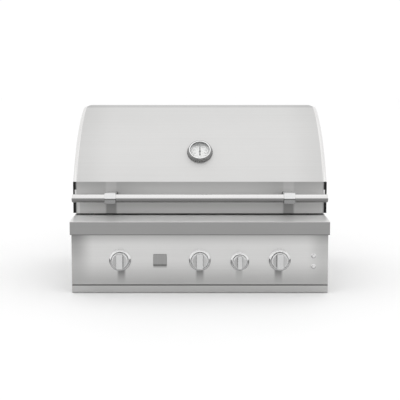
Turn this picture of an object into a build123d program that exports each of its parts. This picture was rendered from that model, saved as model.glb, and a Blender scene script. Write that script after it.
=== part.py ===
from build123d import *
import math
import os

# A built-in gas grill with a hinged hood, made as separate pieces, in millimetres.
# X runs to the viewer's right, Y to the back and Z up.
# The origin is the centre of the base plate's underside.

# Counter ledge and control panel
ledge_width = 810.0
ledge_reach = 119.0
ledge_face_height = 42.0
ledge_top = 230.0
ledge_tuck = 24.0
ledge_overhang = 15.0
panel_inset = 3.0
panel_sill = 27.0
panel_lead = 22.0

# Body below the counter
base_inset = 23.0
base_depth = 512.0
outer_sheet = 1.5
liner_sheet = 1.2
liner_setback = 14.0
chamber_room = 41.0
trim_thickness = 4.0

# Hood
hood_lap = 6.0
hood_gap = 4.5
hood_sheet = 1.5
band_height = 104.0
hood_radius = 455.0
hood_start_tilt = 27.0
hood_end_tilt = 72.0
crown_radius = 40.0
rear_radius = 45.0
rim_width = 13.0
rim_radius = 11.0
hinge_setback = 20.0

# Handle
bar_radius = 13.0
bar_lap = 3.0
bar_rise = 64.0
bar_standoff = 58.0
clamp_inset = 122.0

# Controls
knob_inset = 152.0
knob_height = 106.0
small_knob_drop = 3.4
button_inset = 26.0
button_heights = (119.5, 86.0)

# Clearances shared by every piece
overrun = 5.0
running = 0.05
free_gap = 0.3

# Places that the sizes above settle
panel_width = ledge_width - 2 * panel_inset
base_width = ledge_width - 2 * base_inset
hood_width = ledge_width + 2 * hood_lap
bar_length = panel_width + 2 * bar_lap
clamp_spacing = bar_length - 2 * clamp_inset
knob_pitch = (panel_width / 2 - knob_inset) / 2
button_offset = base_width / 2 - button_inset
base_front = -base_depth / 2
base_back = base_depth / 2
panel_front = base_front - panel_lead
ledge_front = panel_front - ledge_overhang
band_front = ledge_front + ledge_reach
ledge_rear = band_front + ledge_tuck
hood_back = base_back
hood_sill = ledge_top + hood_gap
band_top = hood_sill + band_height
hood_half = hood_width / 2
skin_half = hood_half - rim_width
trim_foot = ledge_top - trim_thickness
pin_y = hood_back - hinge_setback
pin_z = hood_sill + hinge_setback
chamber_back = base_back - chamber_room
chamber_depth = chamber_back - ledge_rear
chamber_middle = (ledge_rear + liner_sheet + chamber_back) / 2
chamber_half = base_width / 2 - liner_setback - liner_sheet
start_angle = math.radians(hood_start_tilt)
end_angle = math.radians(hood_end_tilt)
arc_y = band_front + hood_radius * math.cos(start_angle)
arc_z = band_top - hood_radius * math.sin(start_angle)

os.makedirs("parts", exist_ok=True)


def keep(piece, name):
    """Labels a finished piece and writes it under its own name."""
    piece.part.label = name
    export_step(piece.part, f"parts/{name}.step")


def facing_front(x, y, z):
    """A plane at a point, looking out of the grill's front."""
    return Plane(origin=(x, y, z), x_dir=(1, 0, 0), z_dir=(0, -1, 0))


def facing_back(x, y, z):
    """A plane at a point, looking out of the grill's back."""
    return Plane(origin=(x, y, z), x_dir=(1, 0, 0), z_dir=(0, 1, 0))


def facing_side(x, y, z, side):
    """A plane at a point, looking out of the grill's right (1) or left (-1) side."""
    return Plane(origin=(x, y, z), x_dir=(0, 1, 0), z_dir=(side, 0, 0))


def block(x, y, z, mode=Mode.ADD):
    """A box between the two values given for each axis."""
    with Locations(((x[0] + x[1]) / 2, (y[0] + y[1]) / 2, (z[0] + z[1]) / 2)):
        Box(abs(x[1] - x[0]), abs(y[1] - y[0]), abs(z[1] - z[0]), mode=mode)


def turned(plane, points, mode=Mode.ADD):
    """Turns an outline of (radius, height) points about a plane's normal."""
    across = Plane(origin=plane.origin, x_dir=plane.x_dir, z_dir=-plane.y_dir)
    with BuildSketch(across, mode=Mode.PRIVATE) as outline:
        Polygon(*points, align=None)
    revolve(outline.sketch, axis=Axis(plane.origin, plane.z_dir), mode=mode)


def rod(plane, radius, length, mode=Mode.ADD):
    """A round bar or bore that stands on a plane."""
    with BuildSketch(plane, mode=Mode.PRIVATE) as section:
        Circle(radius)
    extrude(section.sketch, amount=length, mode=mode)


def bent_sheet(plane, points, thickness, bend, length):
    """A sheet folded along the points and extruded both ways; it lies to the left of the line."""
    with BuildSketch(plane, mode=Mode.PRIVATE) as section:
        with BuildLine():
            FilletPolyline(*points, radius=bend)
            offset(amount=thickness, side=Side.LEFT, closed=True)
        make_face()
    extrude(section.sketch, amount=length / 2, both=True)


def hood_outline(plane, inset, sill):
    """The hood's closed side outline, drawn inset from its outer skin down to a sill."""
    radius = hood_radius - inset
    begin = math.acos((hood_radius * math.cos(start_angle) - inset) / radius)
    first = (arc_y - radius * math.cos(begin), arc_z + radius * math.sin(begin))
    with BuildSketch(plane) as outline:
        with BuildLine():
            front = JernArc(
                start=first,
                tangent=(math.sin(begin), math.cos(begin)),
                radius=radius,
                arc_size=math.degrees(begin - end_angle),
            )
            crown = JernArc(
                start=front @ 1,
                tangent=front % 1,
                radius=crown_radius - inset,
                arc_size=-math.degrees(math.pi / 2 - end_angle),
            )
            top = Line(crown @ 1, (hood_back - rear_radius, (crown @ 1).Y))
            rear = JernArc(
                start=top @ 1,
                tangent=top % 1,
                radius=rear_radius - inset,
                arc_size=-math.degrees(math.pi / 2),
            )
            Polyline(rear @ 1, ((rear @ 1).X, sill), (first[0], sill), first)
        make_face()
    return outline.sketch


def screw_outline(shank_radius, head_radius, head_height, shank_length):
    """Half outline of a pan head screw, its seat at height zero."""
    crown = head_radius * crown_share
    return [
        (0, -shank_length),
        (shank_radius, -shank_length),
        (shank_radius, 0),
        (head_radius, 0),
        (head_radius, head_height / 2),
        (crown, head_height),
        (0, head_height),
    ]


# Screws: one outline for the body's sheets, and where they stand
screw_shank = 2.0
screw_head = 4.0
screw_rise = 2.2
screw_depth = 3.0
crown_share = 0.65
screw_hole = screw_shank + running
screw_planes = []

# Base plate with cooling slots
base_slot_length = 90.0
base_slot_width = 8.0
base_slot_columns = 4
base_slot_rows = 3

with BuildPart() as base_plate:
    with BuildSketch():
        Rectangle(base_width, base_depth)
        with GridLocations(
            base_width / base_slot_columns,
            base_depth / base_slot_rows,
            base_slot_columns,
            base_slot_rows,
        ):
            SlotOverall(base_slot_length, base_slot_width, mode=Mode.SUBTRACT)
    extrude(amount=outer_sheet)
keep(base_plate, "base_plate")

# Gas manifold and the sizes that other pieces take from it
pipe_radius = 13.35
pipe_wall = 2.5
pipe_height = 70.0
pipe_setback = 56.0
pipe_overhang = 70.0
collar_radius = 16.0
collar_length = 10.0
collar_inset = 30.0
shoulder_radius = 12.5
shoulder_reach = 1.5
nipple_radius = 10.65
nipple_bore = 7.0
nipple_length = 18.0
pipe_y = panel_front + pipe_setback
pipe_end = 2 * knob_pitch + pipe_overhang
collar_x = base_width / 2 - collar_inset

# Side panels: a folded sheet with a flange front and back, and rows of slots
flange_width = 12.0
side_bend = 2.0
side_slot_length = 70.0
side_slot_width = 7.0
side_slot_pitch = 16.0
side_slot_rows = 5
side_slot_height = 120.0
side_slot_spacing = 170.0
side_slot_columns = 2

for side, label in ((-1, "side_panel_left"), (1, "side_panel_right")):
    outer = side * base_width / 2
    inner = outer - side * flange_width
    with BuildPart() as side_panel:
        with BuildSketch(Plane.XY.offset(outer_sheet)):
            with BuildLine():
                FilletPolyline(
                    (inner, base_back),
                    (outer, base_back),
                    (outer, base_front),
                    (inner, base_front),
                    radius=side_bend,
                )
                offset(
                    amount=outer_sheet,
                    side=Side.RIGHT if side > 0 else Side.LEFT,
                    closed=True,
                )
            make_face()
        extrude(amount=trim_foot - outer_sheet)
        with BuildSketch(facing_side(outer, 0, side_slot_height, side)):
            with GridLocations(
                side_slot_spacing, side_slot_pitch, side_slot_columns, side_slot_rows
            ):
                SlotOverall(side_slot_length, side_slot_width)
        extrude(amount=-outer_sheet, mode=Mode.SUBTRACT)
        if side > 0:
            rod(
                facing_side(outer, pipe_y, pipe_height, -side),
                shoulder_radius + free_gap,
                outer_sheet,
                mode=Mode.SUBTRACT,
            )
    keep(side_panel, label)

# Back panel between the side panels' rear flanges
back_slot_length = 60.0
back_slot_width = 7.0
back_slot_pitch_x = 95.0
back_slot_pitch_z = 18.0
back_slot_columns = 6
back_slot_rows = 4
back_outer = base_back - outer_sheet
back_middle = (outer_sheet + trim_foot) / 2

with BuildPart() as back_panel:
    with BuildSketch(facing_back(0, back_outer, back_middle)):
        Rectangle(base_width - 2 * side_bend, trim_foot - outer_sheet)
        with GridLocations(
            back_slot_pitch_x, back_slot_pitch_z, back_slot_columns, back_slot_rows
        ):
            SlotOverall(back_slot_length, back_slot_width, mode=Mode.SUBTRACT)
    extrude(amount=-outer_sheet)
keep(back_panel, "back_panel")

# Front ledge: a folded channel that hangs over the counter's edge
ledge_bend = 3.0
face_foot = ledge_top - ledge_face_height

with BuildPart() as front_ledge:
    with BuildSketch(Plane.YZ):
        with BuildLine():
            Polyline(
                (ledge_front, face_foot),
                (panel_front, face_foot),
                (panel_front, trim_foot),
                (ledge_rear, trim_foot),
                (ledge_rear, ledge_top),
                (ledge_front, ledge_top),
                close=True,
            )
        make_face()
    extrude(amount=ledge_width / 2, both=True)
    fillet(front_ledge.faces().sort_by(Axis.Y)[0].edges(), ledge_bend)
    block(
        (outer_sheet - ledge_width / 2, ledge_width / 2 - outer_sheet),
        (ledge_front + outer_sheet, ledge_rear + overrun),
        (face_foot + outer_sheet, ledge_top - outer_sheet),
        mode=Mode.SUBTRACT,
    )
keep(front_ledge, "front_ledge")

# Knob places from left to right; the small one works the rear burner
valve_row = (
    ("left", -2 * knob_pitch, knob_height, False),
    ("center", 0, knob_height, False),
    ("rear_burner", knob_pitch, knob_height - small_knob_drop, True),
    ("right", 2 * knob_pitch, knob_height, False),
)

# Push buttons and the igniter box that they work
button_radius = 5.4
button_rise = 4.5
button_barrel = 8.0
button_stem = 2.5
button_stem_length = 8.0
button_dome = 1.2
button_travel = 2.5
button_ring_radius = 7.5
button_ring_rise = 2.5
igniter_width = 27.0
igniter_margin = 14.0
igniter_depth = 34.0
igniter_corner = 3.0

# Control panel: a shallow tray of sheet, open at the back
stem_hole = 10.0
panel_bend = 2.0
panel_head = ledge_top - outer_sheet
panel_middle = (panel_sill + panel_head) / 2

with BuildPart() as control_panel:
    with BuildSketch(facing_front(0, panel_front, panel_middle)):
        Rectangle(panel_width, panel_head - panel_sill)
    extrude(amount=-panel_lead)
    fillet(control_panel.faces().sort_by(Axis.Y)[0].edges(), panel_bend)
    offset(
        amount=-outer_sheet, openings=control_panel.faces().sort_by(Axis.Y)[-1]
    )
    for name, x, z, small in valve_row:
        rod(
            facing_back(x, panel_front, z), stem_hole, outer_sheet, mode=Mode.SUBTRACT
        )
    for z in button_heights:
        rod(
            facing_back(button_offset, panel_front, z),
            button_radius + free_gap,
            outer_sheet,
            mode=Mode.SUBTRACT,
        )
keep(control_panel, "control_panel")

# Bare plate on the panel
badge_width = 42.0
badge_height = 38.0
badge_sheet = 2.4
badge_corner = 2.0

with BuildPart() as badge_plate:
    with BuildSketch(facing_front(-knob_pitch, panel_front, knob_height)):
        RectangleRounded(badge_width, badge_height, badge_corner)
    extrude(amount=badge_sheet)
    chamfer(badge_plate.faces().sort_by(Axis.Y)[0].edges(), badge_sheet / 3)
keep(badge_plate, "badge_plate")

# Bezels round the knobs and rings round the buttons, each its own solid
bezel_radius = 34.3
small_bezel_radius = 29.5
bezel_rise = 9.0
bezel_slope = 3.4
bezel_lip = 2.6
bezel_floor = 1.5
bezel_hole = 9.0
bezel_notch = 3.0
knob_radius = 25.0
small_knob_radius = 21.0
knob_room = 1.3

with BuildPart() as control_bezels:
    for name, x, z, small in valve_row:
        outer = small_bezel_radius if small else bezel_radius
        inner = (small_knob_radius if small else knob_radius) + knob_room
        crest = outer - bezel_slope
        face = facing_front(x, panel_front, z)
        turned(
            face,
            [
                (bezel_hole, 0),
                (outer, 0),
                (outer, bezel_rise / 3),
                (crest, bezel_rise),
                (crest - bezel_lip, bezel_rise),
                (inner, bezel_rise / 2),
                (inner, bezel_floor),
                (bezel_hole, bezel_floor),
            ],
        )
        block(
            (x - outer - overrun, x + outer + overrun),
            (panel_front - bezel_rise - overrun, panel_front - bezel_rise / 2),
            (z - bezel_notch / 2, z + bezel_notch / 2),
            mode=Mode.SUBTRACT,
        )
    for z in button_heights:
        face = facing_front(button_offset, panel_front, z)
        inner = button_radius + free_gap
        turned(
            face,
            [
                (inner, 0),
                (button_ring_radius, 0),
                (button_ring_radius, button_ring_rise / 2),
                (button_ring_radius - button_ring_rise / 2, button_ring_rise),
                (inner, button_ring_rise),
            ],
        )
keep(control_bezels, "control_bezels")

# Gas valves, their plugs and the knobs, all turned about the knob's axis.
# Heights along the axis count from the panel's front face, out of the front.
valve_setback = 25.0
valve_length = 54.0
valve_width = 32.0
valve_corner = 4.0
bonnet_width = 38.0
bonnet_sheet = 3.0
bonnet_screw_pitch = 27.0
bonnet_screw_radius = 1.6
bonnet_screw_head = 3.0
bonnet_screw_rise = 1.8
plug_radius = 9.0
plug_length = 32.0
stem_radius = 4.0
stem_reach = 19.0
stem_flat = 2.6
neck_radius = 8.0
neck_bore = 3.0
orifice_radius = 5.0
orifice_bore = 1.5
orifice_length = 26.0
bonnet_back = -valve_setback - bonnet_sheet
valve_back = bonnet_back - valve_length
plug_back = bonnet_back - plug_length
pipe_top = pipe_height + pipe_radius
neck_foot = pipe_top - pipe_wall

knob_standoff = 6.0
skirt_height = 11.0
skirt_edge = 2.5
knob_reach = 30.0
grip_width = 21.0
small_grip_width = 15.0
grip_length = 47.0
small_grip_length = 40.0
grip_corner = 4.0
grip_taper = 2.0
grip_chamfer = 1.2
knob_push = 3.0
bore_depth_room = 0.5
flat_low = knob_standoff - knob_push - free_gap

bonnet_screws = []
for name, x, z, small in valve_row:
    face = facing_front(x, panel_front, z)
    with BuildPart() as valve_body:
        with BuildSketch(face.offset(bonnet_back)):
            RectangleRounded(valve_width, valve_width, valve_corner)
        extrude(amount=-valve_length)
        with BuildSketch(face.offset(bonnet_back)):
            RectangleRounded(bonnet_width, bonnet_width, valve_corner)
        extrude(amount=bonnet_sheet)
        rod(face.offset(valve_back), orifice_radius, -orifice_length)
        rod(Plane((x, pipe_y, neck_foot)), neck_radius, z - neck_foot)
        turned(
            face,
            [
                (0, plug_back - free_gap),
                (plug_radius + running, plug_back - free_gap),
                (plug_radius + running, bonnet_back + free_gap / 3),
                (stem_radius + running, bonnet_back + free_gap / 3),
                (stem_radius + running, overrun - valve_setback),
                (0, overrun - valve_setback),
            ],
            mode=Mode.SUBTRACT,
        )
        rod(
            Plane((x, pipe_y, neck_foot - overrun)),
            neck_bore,
            z - neck_foot + overrun,
            mode=Mode.SUBTRACT,
        )
        rod(
            face.offset(valve_back - orifice_length - overrun),
            orifice_bore,
            plug_back - valve_back + orifice_length + overrun,
            mode=Mode.SUBTRACT,
        )
        for corner in (-1, 1):
            reach = corner * bonnet_screw_pitch / 2
            seat = facing_front(x + reach, panel_front - bonnet_back - bonnet_sheet, z + reach)
            bonnet_screws.append(seat)
            rod(seat, bonnet_screw_radius + running, -screw_depth, mode=Mode.SUBTRACT)
    keep(valve_body, f"valve_body_{name}")

    with BuildPart() as valve_plug:
        rod(face.offset(plug_back), plug_radius, plug_length)
        rod(face.offset(bonnet_back), stem_radius, stem_reach - bonnet_back)
        block(
            (x - plug_radius, x + plug_radius),
            (panel_front - flat_low, panel_front - stem_reach - overrun),
            (z + stem_flat, z + plug_radius),
            mode=Mode.SUBTRACT,
        )
        rod(Plane((x, pipe_y, z - plug_radius)), neck_bore, plug_radius, mode=Mode.SUBTRACT)
        rod(face.offset(plug_back), neck_bore, pipe_setback + plug_back, mode=Mode.SUBTRACT)
    keep(valve_plug, f"valve_plug_{name}")

    with BuildPart() as knob:
        skirt = small_knob_radius if small else knob_radius
        width = small_grip_width if small else grip_width
        length = small_grip_length if small else grip_length
        skirt_top = knob_standoff + skirt_height
        turned(
            face,
            [
                (0, knob_standoff),
                (skirt, knob_standoff),
                (skirt, skirt_top - skirt_edge),
                (skirt - skirt_edge, skirt_top),
                (0, skirt_top),
            ],
        )
        with BuildSketch(face.offset(skirt_top - skirt_edge)):
            RectangleRounded(width, length, grip_corner)
        extrude(amount=knob_reach - skirt_top + skirt_edge, taper=grip_taper)
        chamfer(knob.faces().sort_by(Axis.Y)[0].edges(), grip_chamfer)
        bore_end = stem_reach + knob_push + bore_depth_room
        with BuildSketch(face.offset(knob_standoff - overrun)):
            Circle(stem_radius + running)
            with Locations((0, stem_flat + running + plug_radius / 2)):
                Rectangle(2 * plug_radius, plug_radius, mode=Mode.SUBTRACT)
        extrude(amount=bore_end - knob_standoff + overrun, mode=Mode.SUBTRACT)
    keep(knob, f"knob_{name}")

# Manifold: a pipe closed at the left, with a threaded inlet through the right side
with BuildPart() as manifold_pipe:
    start = facing_side(-pipe_end, pipe_y, pipe_height, 1)
    collar_start = collar_x + pipe_end
    shoulder_start = collar_start + collar_length
    nipple_start = base_width / 2 + shoulder_reach + pipe_end
    pipe_length = nipple_start + nipple_length
    turned(
        start,
        [
            (0, 0),
            (pipe_radius, 0),
            (pipe_radius, collar_start),
            (collar_radius, collar_start),
            (collar_radius, shoulder_start),
            (shoulder_radius, shoulder_start),
            (shoulder_radius, nipple_start),
            (nipple_radius, nipple_start),
            (nipple_radius, pipe_length),
            (nipple_bore, pipe_length),
            (nipple_bore, collar_start),
            (pipe_radius - pipe_wall, collar_start),
            (pipe_radius - pipe_wall, pipe_wall),
            (0, pipe_wall),
        ],
    )
    for name, x, z, small in valve_row:
        rod(
            Plane((x, pipe_y, pipe_height)),
            neck_radius + running,
            pipe_radius + overrun,
            mode=Mode.SUBTRACT,
        )
keep(manifold_pipe, "manifold_pipe")

# Push buttons and the igniter box behind them
for height, label in zip(button_heights, ("igniter_button", "rear_igniter_button")):
    with BuildPart() as button:
        turned(
            facing_front(button_offset, panel_front, height),
            [
                (0, -button_barrel - button_stem_length),
                (button_stem, -button_barrel - button_stem_length),
                (button_stem, -button_barrel),
                (button_radius, -button_barrel),
                (button_radius, button_rise - button_dome),
                (button_radius - button_dome, button_rise),
                (0, button_rise),
            ],
        )
    keep(button, label)

with BuildPart() as igniter_module:
    low = min(button_heights) - igniter_margin
    high = max(button_heights) + igniter_margin
    with BuildSketch(
        facing_front(button_offset, panel_front + outer_sheet, (low + high) / 2)
    ):
        RectangleRounded(igniter_width, high - low, igniter_corner)
    extrude(amount=-igniter_depth)
    for z in button_heights:
        face = facing_back(button_offset, panel_front, z)
        rod(
            face,
            button_radius + free_gap,
            button_barrel + button_travel + free_gap,
            mode=Mode.SUBTRACT,
        )
        rod(
            face,
            button_stem + running,
            button_barrel + button_stem_length + button_travel + free_gap,
            mode=Mode.SUBTRACT,
        )
keep(igniter_module, "igniter_module")

# Firebox: four liner walls, a grease funnel, and shelves for the grates and flame tamers
liner_foot = 75.0
grate_shelf = 208.0
tamer_shelf = 140.0
shelf_depth = 14.0
back_head = 350.0
burner_radius = 12.7
electrode_radius = 4.0
electrode_shift = 24.0
electrode_rise = 12.0
feed_radius = 3.2
feed_back_room = 10.0
rear_burner_width = 420.0
rear_burner_height = 84.0
rear_burner_sill = 262.0
rear_inlet_inset = 15.0
rear_electrode_room = 14.0
rear_middle = rear_burner_sill + rear_burner_height / 2
rear_electrode_x = rear_burner_width / 2 + rear_electrode_room
feed_inlet_x = rear_burner_width / 2 - rear_inlet_inset
burner_row = (
    ("left", -2 * knob_pitch),
    ("center", 0),
    ("right", 2 * knob_pitch),
)

for side, label in ((-1, "firebox_left"), (1, "firebox_right")):
    with BuildPart() as firebox_side:
        block(
            (side * chamber_half, side * (chamber_half + liner_sheet)),
            (ledge_rear, chamber_back + liner_sheet),
            (liner_foot, trim_foot),
        )
    keep(firebox_side, label)

with BuildPart() as firebox_front:
    wall_front = ledge_rear
    wall_back = ledge_rear + liner_sheet
    block((-chamber_half, chamber_half), (wall_front, wall_back), (liner_foot, ledge_top))
    for top in (tamer_shelf, grate_shelf):
        block(
            (-chamber_half, chamber_half),
            (wall_back, wall_back + shelf_depth),
            (top - liner_sheet, top),
        )
    for name, x in burner_row:
        rod(
            facing_back(x, wall_front, knob_height),
            burner_radius + free_gap,
            liner_sheet,
            mode=Mode.SUBTRACT,
        )
        rod(
            facing_back(x + electrode_shift, wall_front, knob_height + electrode_rise),
            electrode_radius + free_gap,
            liner_sheet,
            mode=Mode.SUBTRACT,
        )
keep(firebox_front, "firebox_front")

with BuildPart() as firebox_back:
    block(
        (-chamber_half, chamber_half),
        (chamber_back, chamber_back + liner_sheet),
        (liner_foot, back_head),
    )
    for top in (tamer_shelf, grate_shelf):
        block(
            (-chamber_half, chamber_half),
            (chamber_back - shelf_depth, chamber_back),
            (top - liner_sheet, top),
        )
    rod(
        facing_back(rear_electrode_x, chamber_back, rear_middle),
        electrode_radius + free_gap,
        liner_sheet,
        mode=Mode.SUBTRACT,
    )
    rod(
        facing_back(feed_inlet_x, chamber_back, rear_middle),
        feed_radius + free_gap,
        liner_sheet,
        mode=Mode.SUBTRACT,
    )
keep(firebox_back, "firebox_back")

funnel_top = 80.0
funnel_foot = 42.0
spout_foot = 31.0
mouth_width = 460.0
mouth_depth = 200.0

with BuildPart() as grease_funnel:
    funnel_width = 2 * (chamber_half - free_gap)
    funnel_depth = chamber_depth - liner_sheet - 2 * free_gap
    for wall, mode in ((0, Mode.ADD), (liner_sheet, Mode.SUBTRACT)):
        with BuildSketch(Plane((0, chamber_middle, funnel_top))):
            Rectangle(funnel_width - 2 * wall, funnel_depth - 2 * wall)
        with BuildSketch(Plane((0, chamber_middle, funnel_foot))):
            Rectangle(mouth_width - 2 * wall, mouth_depth - 2 * wall)
        loft(ruled=True, mode=mode)
    with BuildSketch(Plane((0, chamber_middle, spout_foot))):
        Rectangle(mouth_width, mouth_depth)
        Rectangle(
            mouth_width - 2 * liner_sheet,
            mouth_depth - 2 * liner_sheet,
            mode=Mode.SUBTRACT,
        )
    extrude(amount=funnel_foot - spout_foot)
keep(grease_funnel, "grease_funnel")

# Tube burners with a flared air mouth, port slots and a closed end
mouth_radius = 16.0
mouth_length = 28.0
cone_length = 10.0
air_window = 9.0
port_width = 1.6
port_height = 4.0
port_margin = 29.5
port_rows = 17
port_pitch = (chamber_depth - 2 * port_margin) / port_rows
port_lift = 5.0

for name, x in burner_row:
    with BuildPart() as burner:
        start = facing_back(x, ledge_rear - mouth_length, knob_height)
        length = mouth_length + chamber_depth - free_gap
        straight = mouth_length - cone_length
        turned(
            start,
            [
                (mouth_radius - liner_sheet, 0),
                (mouth_radius, 0),
                (mouth_radius, straight - cone_length),
                (burner_radius, straight),
                (burner_radius, length),
                (0, length),
                (0, length - liner_sheet),
                (burner_radius - liner_sheet, length - liner_sheet),
                (burner_radius - liner_sheet, straight),
                (mouth_radius - liner_sheet, straight - cone_length),
            ],
        )
        with Locations((x, chamber_middle, knob_height + port_lift)):
            with GridLocations(port_pitch, port_pitch, 1, port_rows):
                Box(4 * burner_radius, port_width, port_height, mode=Mode.SUBTRACT)
    keep(burner, f"burner_{name}")

# Flame tamers: roof sheets that rest on the lower shelves
tamer_inset = 30.0
tamer_rise = 36.0
tamer_bend = 6.0
tamer_slot_length = 26.0
tamer_slot_width = 7.0
tamer_slot_pitch = 62.0
tamer_slot_rows = 5
station_width = 2 * chamber_half / len(burner_row)
tamer_half = station_width / 2 - tamer_inset

with BuildPart() as flame_tamers:
    tamer_length = chamber_depth - liner_sheet - 2 * free_gap
    for name, x in burner_row:
        bent_sheet(
            facing_front(x, chamber_middle, tamer_shelf),
            [(-tamer_half, 0), (0, tamer_rise), (tamer_half, 0)],
            outer_sheet,
            tamer_bend,
            tamer_length,
        )
        with BuildSketch(Plane((x, chamber_middle, tamer_shelf))):
            with GridLocations(tamer_half, tamer_slot_pitch, 2, tamer_slot_rows):
                SlotOverall(tamer_slot_length, tamer_slot_width, rotation=90)
        extrude(amount=2 * tamer_rise, mode=Mode.SUBTRACT)
keep(flame_tamers, "flame_tamers")

# Cooking grates: long bars welded on three cross bars
grate_bar = 4.0
grate_bars = 12
grate_weld = 1.5
grate_side_gap = 1.5
grate_gap = 5.5
grate_pitch = (station_width - grate_gap - 2 * grate_bar) / (grate_bars - 1)

for index, (name, x) in enumerate(burner_row):
    with BuildPart() as cooking_grate:
        centre = (index + 1 / 2) * station_width - chamber_half
        cross_z = grate_shelf + free_gap + grate_bar
        long_z = cross_z + 2 * grate_bar - grate_weld
        long_front = ledge_rear + liner_sheet + grate_side_gap
        long_back = chamber_back - grate_side_gap
        span = (grate_bars - 1) * grate_pitch
        with BuildSketch(facing_front(centre, long_back, long_z)):
            with GridLocations(grate_pitch, grate_pitch, grate_bars, 1):
                Circle(grate_bar)
        extrude(amount=long_back - long_front)
        for y in (
            long_front + shelf_depth / 2,
            (long_front + long_back) / 2,
            long_back - shelf_depth / 2,
        ):
            rod(facing_side(centre - span / 2, y, cross_z, 1), grate_bar, span)
    keep(cooking_grate, f"cooking_grate_{name}")

# Warming rack: a wire deck on two bent stands
deck_wire = 2.5
deck_back_gap = 35.0
deck_depth = 120.0
deck_wires = 8
stand_wire = 4.0
stand_room = 1.2
stand_top = 350.0
stand_inset = 10.0
stand_bend = 15.0
stand_half = chamber_half + stand_wire + stand_room
deck_half = stand_half + stand_wire
deck_front = chamber_back - deck_back_gap - deck_depth

with BuildPart() as warming_rack:
    deck_z = stand_top + stand_wire + free_gap + deck_wire
    for index in range(deck_wires):
        y = deck_front + index * deck_depth / (deck_wires - 1)
        rod(facing_side(-deck_half, y, deck_z, 1), deck_wire, 2 * deck_half)
    for x in (-deck_half, 0, deck_half):
        rod(facing_back(x, deck_front, deck_z), deck_wire, deck_depth)
keep(warming_rack, "warming_rack")

with BuildPart() as rack_stands:
    for side in (-1, 1):
        x = side * stand_half
        stand_front = deck_front + stand_inset
        stand_back = deck_front + deck_depth - stand_inset
        foot = ledge_top + free_gap
        with BuildLine() as stand_line:
            FilletPolyline(
                (x, stand_front, foot),
                (x, stand_front, stand_top),
                (x, stand_back, stand_top),
                (x, stand_back, foot),
                radius=stand_bend,
            )
        with BuildSketch(Plane((x, stand_front, foot))):
            Circle(stand_wire)
        sweep(path=stand_line.line)
keep(rack_stands, "rack_stands")

# Rear burner: a shallow housing with a slotted ceramic face
rear_burner_depth = 25.0
rear_burner_rim = 12.0
rear_burner_corner = 4.0
tile_recess = 4.0
tile_groove_width = 5.0
tile_groove_depth = 3.0
tile_grooves = 25
tile_groove_pitch = (rear_burner_width - 3 * rear_burner_rim) / tile_grooves

with BuildPart() as rear_burner:
    face = facing_front(0, chamber_back - rear_burner_depth, rear_middle)
    with BuildSketch(face):
        RectangleRounded(rear_burner_width, rear_burner_height, rear_burner_corner)
    extrude(amount=-rear_burner_depth)
    with BuildSketch(face):
        Rectangle(
            rear_burner_width - 2 * rear_burner_rim,
            rear_burner_height - 2 * rear_burner_rim,
        )
    extrude(amount=-tile_recess, mode=Mode.SUBTRACT)
    with BuildSketch(face.offset(-tile_recess)):
        with GridLocations(tile_groove_pitch, tile_groove_pitch, tile_grooves, 1):
            Rectangle(tile_groove_width, rear_burner_height - 3 * rear_burner_rim)
    extrude(amount=-tile_groove_depth, mode=Mode.SUBTRACT)
keep(rear_burner, "rear_burner")

# Feed pipe from the small valve round the firebox to the rear burner
feed_drop = 84.0
feed_turn = 8.0
feed_lead = 10.0
feed_side = base_width / 2 - liner_setback / 2 - outer_sheet / 2
feed_y = chamber_back + liner_sheet + feed_back_room
small_valve_z = knob_height - small_knob_drop
feed_start = panel_front - valve_back + orifice_length

with BuildPart() as rear_feed_pipe:
    with BuildLine() as feed_line:
        FilletPolyline(
            (knob_pitch, feed_start, small_valve_z),
            (knob_pitch, feed_start + feed_lead, small_valve_z),
            (knob_pitch, feed_start + feed_lead, feed_drop),
            (feed_side, feed_start + feed_lead, feed_drop),
            (feed_side, feed_y, feed_drop),
            (feed_inlet_x, feed_y, feed_drop),
            (feed_inlet_x, feed_y, rear_middle),
            (feed_inlet_x, chamber_back, rear_middle),
            radius=feed_turn,
        )
    with BuildSketch(facing_back(knob_pitch, feed_start, small_valve_z)):
        Circle(feed_radius)
    sweep(path=feed_line.line)
keep(rear_feed_pipe, "rear_feed_pipe")

# Igniter electrodes: a ceramic sleeve with a wire tip
electrode_length = 40.0
electrode_tail = 15.0
electrode_tip = 1.0
electrode_tip_length = 16.0

with BuildPart() as igniter_electrodes:
    seats = [
        facing_back(x + electrode_shift, ledge_rear, knob_height + electrode_rise)
        for name, x in burner_row
    ]
    seats.append(
        facing_front(rear_electrode_x, chamber_back + liner_sheet, rear_middle)
    )
    for seat in seats:
        front_end = electrode_length - electrode_tail
        turned(
            seat,
            [
                (0, -electrode_tail),
                (electrode_radius, -electrode_tail),
                (electrode_radius, front_end),
                (electrode_tip, front_end),
                (electrode_tip, front_end + electrode_tip_length),
                (0, front_end + electrode_tip_length),
            ],
        )
keep(igniter_electrodes, "igniter_electrodes")

# Top trim: a flat frame round three sides that rests on the counter
trim_screw_inset = 6.0
trim_screw_front = 30.0
trim_screw_back = 96.0
trim_screw_rows = 3
trim_screw_spacing = (
    base_back - trim_screw_back - ledge_rear - trim_screw_front
) / (trim_screw_rows - 1)

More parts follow.
